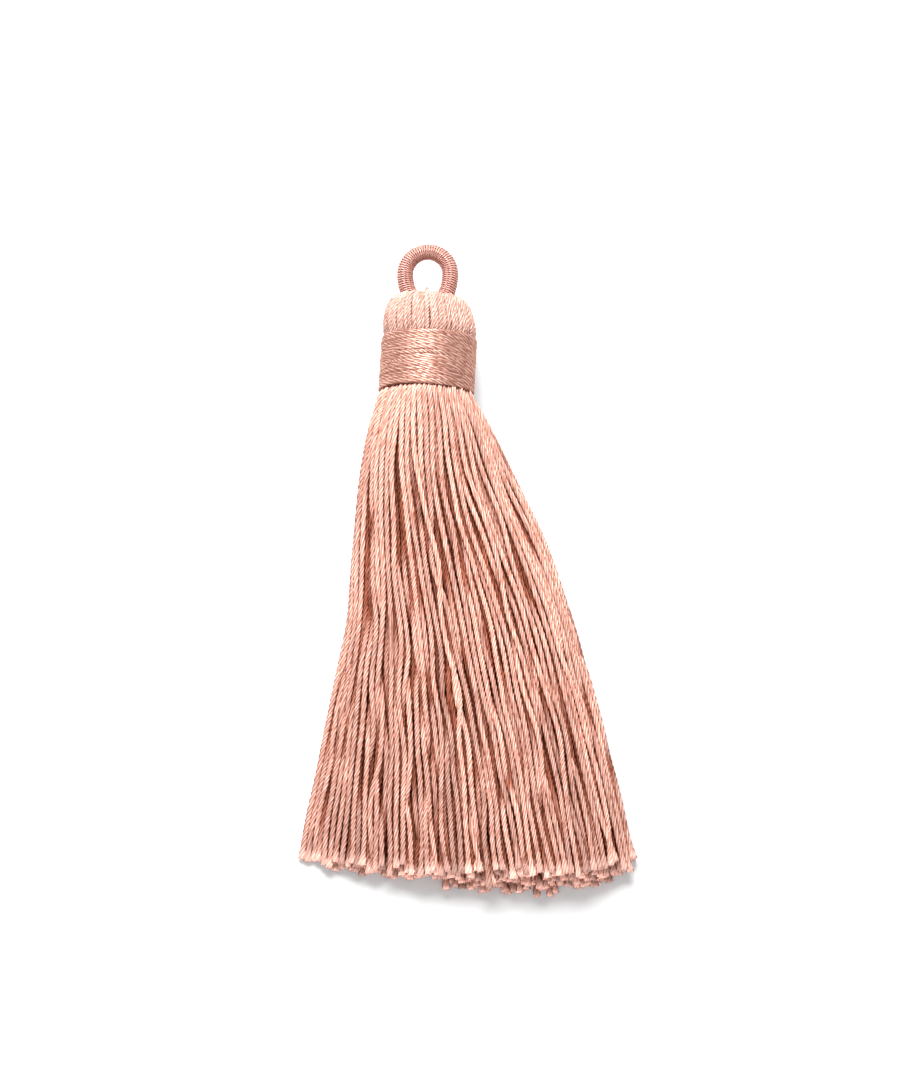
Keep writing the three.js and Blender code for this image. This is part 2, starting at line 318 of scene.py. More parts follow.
def neck_places():
    """Places in rings from the outside in, as shares of the neck's half width and half height."""
    half = (RIGHT[0, 0] - LEFT[0, 0]) / 2
    places = []
    radius = half - THREAD_RADIUS * 0.95
    rings = 0
    while radius > INNERMOST_RING:
        count = int(2 * np.pi * radius / RING_SPACINGS[min(rings, 2)])
        start = random.random()
        astray = random.uniform(-ASTRAY_AROUND, ASTRAY_AROUND, count)
        for angle in 2 * np.pi * (np.arange(count) + start + astray) / count:
            share = (radius - ASTRAY_INWARDS * random.random()) / half
            places.append((share * math.cos(angle), share * math.sin(angle)))
        radius -= RING_TO_RING
        rings += 1
    return np.array(places)


def shares_in_the_heap(places, beside=12):
    """Each thread's share of the skirt to its left and below it, once the threads have spread evenly."""
    order = np.argsort(places[:, 0])
    left, below = np.empty(len(places)), np.empty(len(places))
    for rank, thread in enumerate(order):
        near = order[max(rank - beside, 0):rank + beside + 1]
        left[thread] = (rank + 0.5) / len(places)
        below[thread] = (np.sum(places[near, 1] < places[thread, 1]) + 0.5) / len(near)
    return left, below


neck = neck_places()
threads = len(neck)
spread = np.interp(-STATIONS, [5, 17], [0, 1])[:, None]  # from 0 in the neck's rings to 1 in the heap
left_in_heap, below_in_heap = shares_in_the_heap(neck)
left_in_rings = np.interp(neck[:, 0], GRID, SHARES[0])
below_in_rings = 0.5 + neck[:, 1] / 2 / np.sqrt(1 - neck[:, 0] ** 2)
LEFT_SHARE = left_in_rings + spread * (left_in_heap - left_in_rings)
UP_SHARE = below_in_rings + spread * (below_in_heap - below_in_rings)
print(threads, "threads leave the neck")

# %% Waves and locks
def gentle(share):
    """A share from 0 to 1 that starts and stops gently."""
    return share * share * (3 - 2 * share)


grown = gentle(np.interp(-STATIONS, [6, 28], [0, 1])[:, None])  # how far the threads have come loose
WAVE_SHARES = (0.7, 0.4)  # of the two waves that make up each thread's own


def waves(count, shortest, longest):
    """A smooth wave for each thread, with its own lengths and starts."""
    total = 0
    for share in WAVE_SHARES:
        length = random.uniform(shortest, longest, count)
        total = total + share * np.sin(2 * np.pi * (STATIONS[:, None] / length + random.random(count)))
    return total


LOCK_WARP, LOCK_WARPS = 0.3, (1.5, 3)  # how uneven the locks are, and how often from left to right
LOCK_DRIFT, DRIFT_LENGTHS = 0.35, (50, 90)  # how far they drift aside, and over which lengths
LOCK_LENGTHS = (22, 48)  # over which they come and go
LATER_THAN_THE_LAST = 0.37  # as a share of that length


def locks(count, pull, sink):
    """Draws threads towards the middle of their lock and sinks the lock's edges. The locks drift across
    the skirt and come and go along it."""
    start = random.random(4)
    warp = LOCK_WARP * np.sin(2 * np.pi * (random.uniform(*LOCK_WARPS) * left_in_heap + start[0]))
    drift = STATIONS[:, None] / random.uniform(*DRIFT_LENGTHS) + start[1]
    drift = LOCK_DRIFT * np.sin(2 * np.pi * drift)
    place = count * left_in_heap + warp + drift + start[2]
    lock, place = np.floor(place), place % 1 - 0.5
    phase = STATIONS[:, None] / random.uniform(*LOCK_LENGTHS) + LATER_THAN_THE_LAST * lock + start[3]
    there = 0.5 + 0.5 * np.sin(2 * np.pi * phase)
    return np.stack([-2 * place * pull * there, -sink * (2 * np.abs(place)) ** 3 * there], axis=-1)


# %% Aims: the places that the changing outline gives, with waves and locks
NECK_WAVE = 0.11  # how far the threads stray while they are still packed
ASIDE, ASIDE_WAVE, HEIGHT_WAVE = 0.8, 0.36, 0.35  # how far they stray once they are loose
# How many locks there are, how hard they draw their threads together, and how far their edges sink
LOCKS = [(5, 0.35, 0.2), (9, 0.3, 0.25), (14, 0.28, 0.25), (22, 0.24, 0.25)]
u = np.stack([np.interp(left, shares, GRID) for left, shares in zip(LEFT_SHARE, SHARES)])
underside, topside = skirt_span(u)
aims = np.empty((len(STATIONS), threads, 2))
aims[..., 0] = LEFT + (RIGHT - LEFT) * (u + 1) / 2
aims[..., 1] = underside + THREAD_RADIUS + UP_SHARE * (topside - underside - 2 * THREAD_RADIUS)
out_of_the_band = np.interp(-STATIONS, [4.5, 7.5], [0, 1])[:, None, None]
small_waves = np.stack([waves(threads, 7, 15), waves(threads, 6, 14)], axis=-1)
aims += out_of_the_band * NECK_WAVE * small_waves
inner = 1 - u**4  # the outermost threads keep to the edges
astray = ASIDE * random.uniform(-1, 1, threads) + ASIDE_WAVE * waves(threads, 18, 50)
aims[..., 0] += grown * inner * astray
aims[..., 1] += grown * HEIGHT_WAVE * waves(threads, 12, 36)
for count, pull, sink in LOCKS:
    aims += grown[..., None] * locks(count, pull, sink)

# %% How far each thread reaches
PACKED_REACH = np.interp(-STATIONS, [2.6, 4.8, 9.0], [0.29, 0.31, 0.325])[:, None]
BERTH = np.interp(-STATIONS, [20, 55], [0.16, 0.28])[:, None]  # how much further it may keep others away
PROUD = 0.28  # how far a thread may rise over the skirt's top
reach = PACKED_REACH + BERTH * grown * inner * waves(threads, 9, 26).clip(0, 1)
proud = PROUD * grown * waves(threads, 12, 30)
share_before = ((STATIONS[1:-1] - STATIONS[:-2]) / (STATIONS[2:] - STATIONS[:-2]))[:, None, None]
bends = aims[1:-1] - (aims[:-2] + share_before * (aims[2:] - aims[:-2]))
print("the threads reach", reach.min().round(3), "to", reach.max().round(3), "mm from their middles")

# %% Pushing the threads apart
NEIGHBOURS = 18  # how many on each side a thread may touch
PUSH = 0.62  # share of an overlap that one round takes away
TOP_THREAD_SINKS = 0.8  # of a thread's radius, into the skirt's top


def eased(paths, pace, pull):
    """Paths drawn towards their aims and towards smooth curves."""
    fair = paths[:-2] + share_before * (paths[2:] - paths[:-2]) + bends
    paths[1:-1] += pace * (fair + pull * (aims[1:-1] - fair) - paths[1:-1])
    paths[-1] += pace * (aims[-1] - paths[-1])


def spread_apart(paths):
    """Moves threads that are too near away from each other, nearest neighbours across the skirt first."""
    order = np.argsort(paths[..., 0], axis=1)
    sorted_reach = np.take_along_axis(reach, order, axis=1)
    order = order[..., None]
    sorted_paths = np.take_along_axis(paths, order, axis=1)
    moves = np.zeros_like(sorted_paths)
    for step in range(1, NEIGHBOURS + 1):
        apart = sorted_paths[:, step:] - sorted_paths[:, :-step]
        distance = np.maximum(np.hypot(apart[..., 0], apart[..., 1]), 1e-6)
        nearest = sorted_reach[:, step:] + sorted_reach[:, :-step]
        push = np.maximum(nearest - distance, 0) / distance / 2
        moves[:, step:] += push[..., None] * apart
        moves[:, :-step] -= push[..., None] * apart
    np.put_along_axis(paths, order, sorted_paths + PUSH * moves, axis=1)


def kept_inside(paths):
    """Keeps the threads between the skirt's edges and on or over the surface."""
    x = np.clip(paths[..., 0], LEFT + THREAD_RADIUS, RIGHT - THREAD_RADIUS)
    underside, topside = skirt_span((2 * x - LEFT - RIGHT) / (RIGHT - LEFT))
    paths[..., 0] = x
    paths[..., 1] = np.clip(
        paths[..., 1],
        np.maximum(underside, 0) + THREAD_RADIUS,
        np.maximum(topside, 2 * THREAD_RADIUS) - TOP_THREAD_SINKS * THREAD_RADIUS + proud.clip(0),
    )


# How many rounds, their pace, and how hard the aims pull: first to get there, then to spread
ROUNDS = [(170, 0.22, 0.25), (60, 0.08, 0.0)]
paths = aims.copy()
rest = paths[0].copy()
for rounds, pace, pull in ROUNDS:
    for _ in range(rounds):
        eased(paths, pace, pull)
        spread_apart(paths)
        kept_inside(paths)
        paths[0] = rest

middle = paths[MID_SKIRT]
gaps = np.linalg.norm(middle[:, None] - middle, axis=-1) + np.eye(threads)
print("nearest threads in mid skirt are", gaps.min().round(3), "mm apart")


# %% How deep each thread lies
LOOSE_SHADE = 0.7  # how much more shade there is among loose threads than among packed ones
COVER, COVER_WIDTH = 1.4, 0.8  # how well a thread covers one right under it, and how soon that fades aside


def depth_among_neighbours(paths):
    """How far each thread lies under the highest one over it or beside it, in millimetres."""
    aside = np.abs(paths[:, :, None, 0] - paths[:, None, :, 0])
    above = paths[:, None, :, 1] - paths[:, :, None, 1]
    return (above * np.clip(COVER - aside / COVER_WIDTH, 0, 1)).max(axis=2)


def depth_in_skirt(paths):
    """How far each thread lies under the skirt's surface, measured square to the surface."""
    share = (2 * paths[..., 0] - LEFT - RIGHT) / (RIGHT - LEFT)
    _, surface = skirt_span(share)
    _, beside = skirt_span(share * 0.98)
    slope = (surface - beside) / np.maximum(0.01 * np.abs(share) * (RIGHT - LEFT), 1e-3)
    highest = surface - TOP_THREAD_SINKS * THREAD_RADIUS
    return (highest - paths[..., 1]).clip(0) / np.sqrt(1 + slope**2)


# The depths become painted shade in the finish
depths = np.minimum(depth_among_neighbours(paths), depth_in_skirt(paths))
depths *= 1 + LOOSE_SHADE * grown
print("share of threads that lie free on top:", (depths[MID_SKIRT] < 0.2).mean().round(2))

# %% [markdown]
# ## The cut
#
# Shears never cut a tassel in one clean line. Where the threads lie deepest, at the right, the lower layers
# reach further down than the upper ones, so several rows of cut ends show. Each end is also a little longer
# or shorter than its neighbours.

# %% Where each thread is cut
# x, y of the lowest layer's cut, and how much shorter the top layer is
CUT = np.array([
    (-15.4, -59.9, 0.2),
    (-7.0, -61.9, 0.4),
    (1.0, -62.8, 0.8),
    (7.0, -64.0, 1.8),
    (13.0, -64.2, 2.1),
    (19.0, -63.6, 1.8),
    (23.0, -62.2, 1.2),
    (25.0, -60.4, 0.4),
])
CUT_UNEVENNESS, CUT_LIMITS = 0.4, (-1.1, 0.8)
MISSED, MISSED_AT, MISSED_LENGTH = 2, 7.2, 1.5  # threads that the shears left longer, where and by how much

x, z = paths[BEFORE_THE_CUT].T
layer = np.clip((z - THREAD_RADIUS) / (TOP[BEFORE_THE_CUT, 0] - 2 * THREAD_RADIUS), 0, 1)
lowest, shorter = read_off(x, CUT[:, 0], CUT[:, 1:]).T
cuts = lowest + layer * shorter
cuts += (CUT_UNEVENNESS * random.normal(0, 1, threads)).clip(*CUT_LIMITS)
missed = np.argsort(np.abs(x - MISSED_AT) - 0.3 * z)[:MISSED]
cuts[missed] -= MISSED_LENGTH
print("cuts lie between", cuts.min().round(1), "and", cuts.max().round(1), "mm")

# %% Smooth paths of many small steps
FINE_STEP = 0.25


def averaged(tracks, reach):
    """Each row of the tracks as the mean of its neighbours, as many on each side as reach says."""
    padded = np.concatenate([tracks[:1]] * reach + [tracks] + [tracks[-1:]] * reach)
    return running_mean(padded, 2 * reach + 1)


def smooth_tracks():
    """The stations' paths and depths on a fine even grid along y, rounded off so that no corner is left.
    Where the threads come out from under the band they turn sharply, so less is rounded off there."""
    fine = np.arange(STATIONS[0], STATIONS[-1], -FINE_STEP)
    known = np.concatenate([paths, depths[..., None]], axis=2)
    tight = read_off(-fine, -STATIONS, known)
    loose = tight
    for _ in range(3):
        loose = averaged(loose, 5)
    tight = averaged(averaged(tight, 1), 1)
    share = np.interp(-fine, [5.5, 9.5], [0, 1])[:, None, None]
    tracks = tight + share * (loose - tight)
    tracks[..., 1] = np.maximum(tracks[..., 1], THREAD_RADIUS)
    return fine, tracks


def skirt_paths(chosen, step):
    """Points of the chosen threads from the neck to their cuts, evenly spaced in y, and their depths."""
    fine, tracks = smooth_tracks()
    steps = int(round(np.mean(STATIONS[0] - cuts[chosen]) / step))
    ys = STATIONS[0] + (cuts[chosen, None] - STATIONS[0]) * np.linspace(0, 1, steps)
    lines, sunk = np.empty((len(chosen), steps, 3)), np.empty((len(chosen), steps))
    for row, thread in enumerate(chosen):
        x, z, sunk[row] = read_off(-ys[row], -fine, tracks[:, thread]).T
        lines[row] = np.stack([x, ys[row], z], axis=1)
    return lines, sunk


# %% [markdown]
# ## The skirt's threads
#
# Each thread opens a little at its cut end, where nothing holds the plies together. The threads are shared
# out over a few meshes, from the left of the skirt to the right, because a single huge mesh is slow to
# handle.

# %% Uneven twist, size and tone
SMOOTHED_OVER = 9  # steps over which the twist changes
TWIST_SPREAD = 0.8


def uneven_turns(count, steps):
    """How far the plies have turned at each step, tighter in some stretches than in others."""
    uneven = running_mean(random.normal(0, 1, (count, steps + SMOOTHED_OVER - 1)).T, SMOOTHED_OVER).T
    rate = 1 / STEPS_IN_A_TURN * (random.uniform(0.85, 1.15, (count, 1)) + TWIST_SPREAD * uneven)
    return random.random((count, 1)) + np.cumsum(rate, axis=1)


def own_tones(count):
    """How light each thread is beside the others."""
    return random.normal(0, 1, (count, 1)).clip(-2, 2)


# %% Make the skirt's threads
FLARE = 1.7  # length of loosened thread at the cut
FLARE_WIDENS, FLARE_THINS = (0.15, 0.7), (0.2, 0.6)  # the least and the most, of threads that differ
SIZES = (0.95, 1.05)
PAINTED_LIGHT_ALONG = ([4, 14, 25, 62], [0.8, 0.9, 0.3, -1.0])  # how far below the neck, and the painted light: lighter near the neck, darker towards the cut
FREE = ([4, 12, 24], [0.45, 0.15, 0])  # the same for how much light gets in beside them
PAINTED_SHADE_LOWER_LEFT = 1.1  # painted shade on the lower left, in tones
TO_THE_LEFT, TO_THE_CUT = [2, 14], [20, 40]  # where the painted shade of the lower left starts and where it is darkest
GROOVES_FILLED = 0.6  # at the cut, where the plies open
FREE_AT_THE_CUT = 0.15


def make_skirt_threads(name, chosen):
    lines, sunk = skirt_paths(chosen, STEP_LENGTH)
    opened = gentle(np.clip(1 - (lines[:, :, 1] - cuts[chosen, None]) / FLARE, 0, 1))
    count, steps, _ = lines.shape
    size = THREAD_RADIUS * random.uniform(*SIZES, (count, 1))
    turns = uneven_turns(count, steps)
    wide = (size * (1 + opened * random.uniform(*FLARE_WIDENS, (count, 1))))[..., None]
    thick = (size * (1 - opened * random.uniform(*FLARE_THINS, (count, 1))))[..., None]
    tubes = twisted(lines, UP, wide, thick, turns, roundness=GROOVES_FILLED * opened[..., None])
    below = -lines[:, :, 1]
    # Besides each thread's own tone, painted shade darkens the lower left, and painted light that is
    # strongest near the neck turns to painted shade towards the cut
    lower_left = np.interp(-lines[:, :, 0], TO_THE_LEFT, [0, 1]) * np.interp(below, TO_THE_CUT, [0, 1])
    tone_and_light = own_tones(count) * (1 + opened) - PAINTED_SHADE_LOWER_LEFT * lower_left
    tone_and_light += np.interp(below, *PAINTED_LIGHT_ALONG)
    free = FREE_AT_THE_CUT * opened + np.interp(below, *FREE)
    return thread_object(name, tubes, UP, tone_and_light, opened, sunk * (1 - 0.5 * opened), free)


skirt_pieces = []
THREADS_IN_A_PIECE = 46
left_to_right = np.argsort(paths[MID_SKIRT, :, 0])
for part in range(0, threads, THREADS_IN_A_PIECE):
    name = f"skirt_threads_{part // THREADS_IN_A_PIECE + 1}"
    skirt_pieces.append(make_skirt_threads(name, left_to_right[part:part + THREADS_IN_A_PIECE]))

# %% [markdown]
# ## Loose fibres at the cut
#
# Each cut end is a small brush of fibres. A particle system could grow them, but a few stiff little spikes
# at each end are enough at this size, and as one mesh of three-sided spikes they stay light.

# %% Make the fibres
FIBRES = 12  # at each cut end
FIBRE_RADIUS = 0.05  # at its foot
FIBRE_SPREAD, FIBRE_LEAN = 0.34, 0.45  # of the feet around the thread, and of the fibres outwards
FIBRE_ROOT = 0.15  # how far back from the cut a fibre starts
FIBRE_LENGTHS = (0.15, 0.5)
BRUSH_FLATNESS = 0.4  # its height as a share of its width


def fibre_ends():
    lines, sunk = skirt_paths(np.arange(threads), 0.3)
    tip, before = lines[:, -1], lines[:, -3]
    along = unit(tip - before)[:, None]
    across = unit(np.cross(along, UP))
    over = np.cross(across, along)
    each = (threads, FIBRES, 1)
    outwards = random.uniform(-1, 1, each) * across
    outwards = outwards + random.uniform(-BRUSH_FLATNESS, BRUSH_FLATNESS, each) * over
    foot = tip[:, None] - FIBRE_ROOT * along + FIBRE_SPREAD * outwards
    point = foot + random.uniform(*FIBRE_LENGTHS, each) * unit(along + FIBRE_LEAN * outwards)
    point[..., 2] = np.maximum(point[..., 2], 0.02)
    turns = [2 * np.pi * corner / 3 for corner in range(3)]
    ring = [foot + FIBRE_RADIUS * (math.cos(turn) * across + math.sin(turn) * over) for turn in turns]
    points = np.stack([*ring, point], axis=2).reshape(-1, 3)
    points[:, 2] = points[:, 2].clip(0)
    base = 4 * np.arange(threads * FIBRES)[:, None, None]
    faces = (np.array([[0, 1, 2], [1, 0, 3], [2, 1, 3], [0, 2, 3]]) + base).reshape(-1, 3)
    piece = mesh_object("cut_fibres", placed(points), faces, False)
    # The fibres carry a painted highlight as if near a ply's crown, and part of their thread's painted shade
    # where it lies deep
    for attribute, values in (
        ("ply_crown", np.full(threads, 0.8)),
        ("outer_side", np.ones(threads)),
        ("tone_and_painted_light", random.normal(0, 1, threads)),
        ("cut_end", np.ones(threads)),
        ("sunk", 0.4 * sunk[:, -1]),
    ):
        set_attribute(piece, attribute, np.repeat(values, 4 * FIBRES))
    print("cut_fibres:", len(faces), "triangles")
    return piece


skirt_pieces.append(fibre_ends())

# %% [markdown]
# ## The ring
#
# The ring is a small loop of wire or plastic, wrapped closely with a finer thread. The core starts as a
# torus, and its lower half is drawn out where the bundle pulls on it. The wrapping is one thread that goes
# around the tube more than seventy times. It is wider on the outer side of the ring, where the turns fan
# out.

# %% The ring's centre line
RING_HALF_WIDTH = 2.78
RING_REACH_UP = 2.84
RING_REACH_DOWN = 4.25
RING_MIDDLE = np.array([-0.05, 11.05, 5.5])
RING_TUBE = 1.04  # radius over the wrapping


def ring_line(turn):
    """Points on the ring's centre line and the directions outwards, at turns from 0 at its right to 1."""
    angle = 2 * np.pi * turn
    reach = np.where(np.sin(angle) > 0, RING_REACH_UP, RING_REACH_DOWN)
    spot = np.stack([RING_HALF_WIDTH * np.cos(angle), reach * np.sin(angle), 0 * angle], axis=-1)
    facing = np.stack([reach * np.cos(angle), RING_HALF_WIDTH * np.sin(angle), 0 * angle], axis=-1)
    return RING_MIDDLE + spot, unit(facing)


# %% Make the ring's core
CORE_TUBE = 0.7


def started(name):
    """The primitive that was just added, named, with its place in its mesh, and in edit mode."""
    core = bpy.context.object
    core.name = core.data.name = name
    bpy.ops.object.transform_apply(location=True, rotation=True, scale=True)
    bpy.ops.object.mode_set(mode="EDIT")
    return core


def stretch_rows(core, start, end, value, middle):
    """Stretches the vertices whose y is between start and end, in metres, away from a middle."""
    bpy.ops.mesh.select_mode(type="VERT")
    bpy.ops.mesh.select_all(action="DESELECT")
    bpy.ops.object.mode_set(mode="OBJECT")
    for vertex in core.data.vertices:
        vertex.select = bool(start < vertex.co.y < end)
    bpy.ops.object.mode_set(mode="EDIT")
    bpy.ops.transform.resize(value=value, center_override=middle, orient_type="GLOBAL")


def finished(core):
    """The core shaded smooth, out of edit mode and no longer selected."""
    bpy.ops.object.mode_set(mode="OBJECT")
    for face in core.data.polygons:
        face.use_smooth = True
    core.select_set(False)
    print(f"{core.name}:", len(core.data.polygons), "faces")
    return core


def make_ring_core():
    middle = tuple(placed(RING_MIDDLE))
    bpy.ops.mesh.primitive_torus_add(
        major_segments=64,
        minor_segments=16,
        major_radius=RING_HALF_WIDTH * MM,
        minor_radius=CORE_TUBE * MM,
        location=middle,
    )
    core = started("ring_core")
    drawn_out = RING_REACH_DOWN / RING_HALF_WIDTH
    stretch_rows(core, -math.inf, middle[1] - 1e-7, (1, drawn_out, 1), middle)
    return finished(core)


# %% Make the ring's wrapping
WRAPS = 72
STEPS_IN_A_WRAP = 24
WRAP_STEPS_IN_A_TURN = 6  # of the wrapping thread's plies
WRAP_THICKNESS = 0.16  # half the wrapping thread's thickness
WRAP_WIDTHS = (0.12, 0.2)  # the least and the most that half its width may be
WRAP_UNEVENNESS = 0.018
STEPS_BETWEEN_KNOTS = 13  # from one change in its distance from the core to the next


def ring_wrapping():
    steps = WRAPS * STEPS_IN_A_WRAP
    step = np.arange(steps + 1)
    share = step / steps
    fine = np.linspace(0, 1, 2001)
    spots, _ = ring_line(fine)
    length = length_so_far(spots)
    turn = np.interp(share * length[-1], length, fine)
    centre, facing = ring_line(turn)
    around = 2 * np.pi * share * WRAPS
    outwards = np.cos(around)[:, None] * facing + np.sin(around)[:, None] * UP
    knots = step[::STEPS_BETWEEN_KNOTS]
    uneven = np.interp(step, knots, random.normal(0, WRAP_UNEVENNESS, len(knots)))
    line = centre + (RING_TUBE - WRAP_THICKNESS + uneven)[:, None] * outwards
    gap = np.linalg.norm(line[STEPS_IN_A_WRAP:] - line[:-STEPS_IN_A_WRAP], axis=1)
    gap = np.concatenate([gap, gap[-STEPS_IN_A_WRAP:]])
    wide = (0.5 * gap).clip(*WRAP_WIDTHS)[None, :, None]
    turns = step[None] / WRAP_STEPS_IN_A_TURN
    outwards = outwards[None]
    tubes = twisted(line[None], outwards, wide, WRAP_THICKNESS, turns, section=THREE_PLIES)
    return thread_object("ring_wrapping", tubes, outwards, steps_in_a_turn=WRAP_STEPS_IN_A_TURN)


ring_pieces = [make_ring_core(), ring_wrapping()]

# %% [markdown]
# ## The head
#
# Over the band the same threads come down from the ring. Around the crown there is no room for all of them
# side by side, so three of every four dive under their neighbours before they get there. The threads also
# make way for the ring's tube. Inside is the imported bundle, which shows only as darkness between the
# threads, so it is one plain core.

# %% Paths of the head's threads
HEAD_THREADS = 62
HEAD_STEPS = 32
HEAD_BACK_LEAN = 0.09  # how much less the head leans than the band
HEAD_ASTRAY = 0.12  # how far a thread strays around the head, as a share of the spacing
HEAD_WAVE = 0.05
DIVES, DIVE_SPREAD = (0.0, 0.9, 0.5, 0.75), 0.1  # how far each thread of four dives at the crown
LAYERS, LAYER_SPREAD = (0.0, 0.09), 0.02  # how far every second thread lies inwards at the shoulder
# y along the axis and distance from it, of the middle of a thread, from the crown down to under the band
HEAD_PATH = np.array([
    (7.3, 1.0),
    (7.75, 1.8),
    (7.95, 2.8),
    (7.95, 3.6),
    (7.72, 4.3),
    (6.95, 4.85),
    (5.6, 5.25),
    (4.2, 5.45),
    (3.5, 5.42),
    (2.9, 5.15),
    (2.0, 5.0),
])


ROUNDED_OVER = 0.9


def rounded(points, steps):
    """A smooth line of evenly spaced points through or near the given ones."""
    length = length_so_far(points)
    fine = np.linspace(0, length[-1], 8 * steps)
    line = read_off(fine, length, points)
    width = int(ROUNDED_OVER / (fine[1] - fine[0])) // 2 * 2 + 1
    for _ in range(2):
        padded = np.concatenate([
            2 * line[:1] - line[width // 2:0:-1], line, 2 * line[-1:] - line[-2:-width // 2 - 1:-1]
        ])
        line = running_mean(padded, width)
    return line[np.linspace(0, len(line) - 1, steps).round().astype(int)]


def head_paths():
    profile = rounded(HEAD_PATH, HEAD_STEPS)
    crown = np.clip((profile[:, 1] - 1.0) / 3.4, 0, 1)  # from 0 at the crown to 1 at the shoulder
    lines, sunk = [], []
    for thread in range(HEAD_THREADS):
        angle = 2 * np.pi * (thread + HEAD_ASTRAY * random.normal()) / HEAD_THREADS
        dive = (DIVES[thread % 4] + DIVE_SPREAD * random.normal()) * (1 - crown) ** 0.6
        wave = HEAD_WAVE * np.sin(profile[:, 0] * random.uniform(0.6, 1.4) + random.uniform(0, 6))
        inwards = LAYERS[thread % 2] + LAYER_SPREAD * random.normal()
        radius = profile[:, 1] - inwards * crown
        turn = angle + wave / np.maximum(radius, 1.5)
        x = radius * np.cos(turn) - HEAD_BACK_LEAN * (profile[:, 0] - 3.5).clip(0)
        lines.append(np.stack([x, profile[:, 0] - dive, radius * np.sin(turn)], axis=-1))
        sunk.append(0.9 * dive.clip(0) + inwards * crown)
    return leant(np.array(lines)), np.array(sunk)


def clear_of_ring(lines, distance):
    """Moves points that are too near the ring's centre line straight away from it."""
    centre, _ = ring_line(np.linspace(0, 1, 240, endpoint=False))
    apart = lines[:, :, None] - centre
    nearest = np.linalg.norm(apart, axis=-1).argmin(axis=-1)[..., None, None]
    away = np.take_along_axis(apart, nearest, axis=2)[:, :, 0]
    size = np.linalg.norm(away, axis=-1, keepdims=True)
    return lines + unit(away) * np.maximum(distance - size, 0)


# %% Make the head's threads
RING_CLEARANCE = 0.26  # from the wrapping to the middle of a thread
HEAD_FREE = 0.15  # light that gets in beside the threads where they bend outwards


def make_head_threads():
    lines, sunk = head_paths()
    lines = clear_of_ring(lines, RING_TUBE + RING_CLEARANCE)
    for _ in range(2):
        lines[:, 1:-1] = (lines[:, :-2] + 2 * lines[:, 1:-1] + lines[:, 2:]) / 4
    outwards = lines - leant(np.array([0.0, 2.0, 0.0]))
    turns = uneven_turns(HEAD_THREADS, HEAD_STEPS)
    tubes = twisted(lines, outwards, THREAD_RADIUS, THREAD_RADIUS, turns)
    return thread_object("head_threads", tubes, outwards, own_tones(HEAD_THREADS), 0, sunk, HEAD_FREE)


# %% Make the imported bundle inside
# y along the axis and radius of the core
CORE_ROWS = [
    (7.0, 2.8), (6.3, 4.1), (4.8, 4.95), (3.4, 5.0), (0.0, 4.9), (-4.0, 4.9), (-6.5, 4.4), (-8.5, 3.0)
]
ROW_TOLERANCE = 1e-5  # in metres, much less than from row to row


def make_bundle_core():
    """A cylinder around the axis, cut into rows that are each given their own width."""
    top, bottom = CORE_ROWS[0][0], CORE_ROWS[-1][0]
    bpy.ops.mesh.primitive_cylinder_add(
        vertices=48,
        radius=MM,
        depth=(top - bottom) * MM,
        rotation=(-math.pi / 2, 0, 0),
        location=(0, (top + bottom) / 2 * MM, 0),
        end_fill_type="TRIFAN",
    )
    core = started("gathered_core")
    for y, _ in CORE_ROWS[1:-1]:
        bpy.ops.mesh.select_all(action="SELECT")
        bpy.ops.mesh.bisect(plane_co=(0, y * MM, 0), plane_no=(0, 1, 0))
    for y, radius in CORE_ROWS:
        start, end = y * MM - ROW_TOLERANCE, y * MM + ROW_TOLERANCE
        stretch_rows(core, start, end, (radius, 1, radius), (0, y * MM, 0))
    core = finished(core)
    points = np.array([vertex.co for vertex in core.data.vertices]) / MM
    core.data.vertices.foreach_set("co", placed(leant(points)).astype(np.float32).ravel())
    core.data.update()
    return core


# %% Make the end of the tie
TIE_END = np.array([(-0.22, 7.7, 7.3), (-0.24, 8.15, 7.5), (-0.16, 8.55, 7.62), (-0.08, 8.8, 7.66)])
TIE_RADIUS, TIE_TAPER = 0.2, 0.8
TIE_STEPS, TIE_TURNS_IN_A_STEP = 10, 0.12
TIE_OPENED = 0.4  # as if it were near a cut all along


def make_tie_end():
    """The cut end of the thread that ties the bundle to the ring. It peeps out over the crown."""
    line = rounded(TIE_END, TIE_STEPS)[None]
    turns = TIE_TURNS_IN_A_STEP * np.arange(TIE_STEPS)[None]
    radius = TIE_RADIUS * np.linspace(1, TIE_TAPER, TIE_STEPS)[None, :, None]
    tubes = twisted(line, UP, radius, radius, turns)
    return thread_object("tie_end", tubes, UP, end=TIE_OPENED)


head_pieces = [make_head_threads(), make_bundle_core(), make_tie_end()]

# %% [markdown]
# ## The band
#
# The neck is bound with thirteen turns of the same thread, pulled tight and laid side by side. It is one
# long spiral. Its two ends go under the turns, as a maker pulls them in with a needle. On the underside the
# turns are pressed flat against the surface.

# %% Make the band
BAND_TURNS = 13
BAND_TOP, BAND_BOTTOM = 2.8, -3.83  # y of the first and last turn's middle
BAND_RADIUS = 5.7  # of the thread's middle
BAND_THREAD_WIDTH, BAND_THREAD_THICKNESS = 0.35, 0.16  # half of each, pressed flat by the pull
TUCK_DEPTH, TUCK_TURNS = 0.6, 0.15  # how far in the two ends go, and over which part of a turn
BAND_UNEVENNESS, BAND_WANDER = 0.02, 0.03  # in and out, and up and down


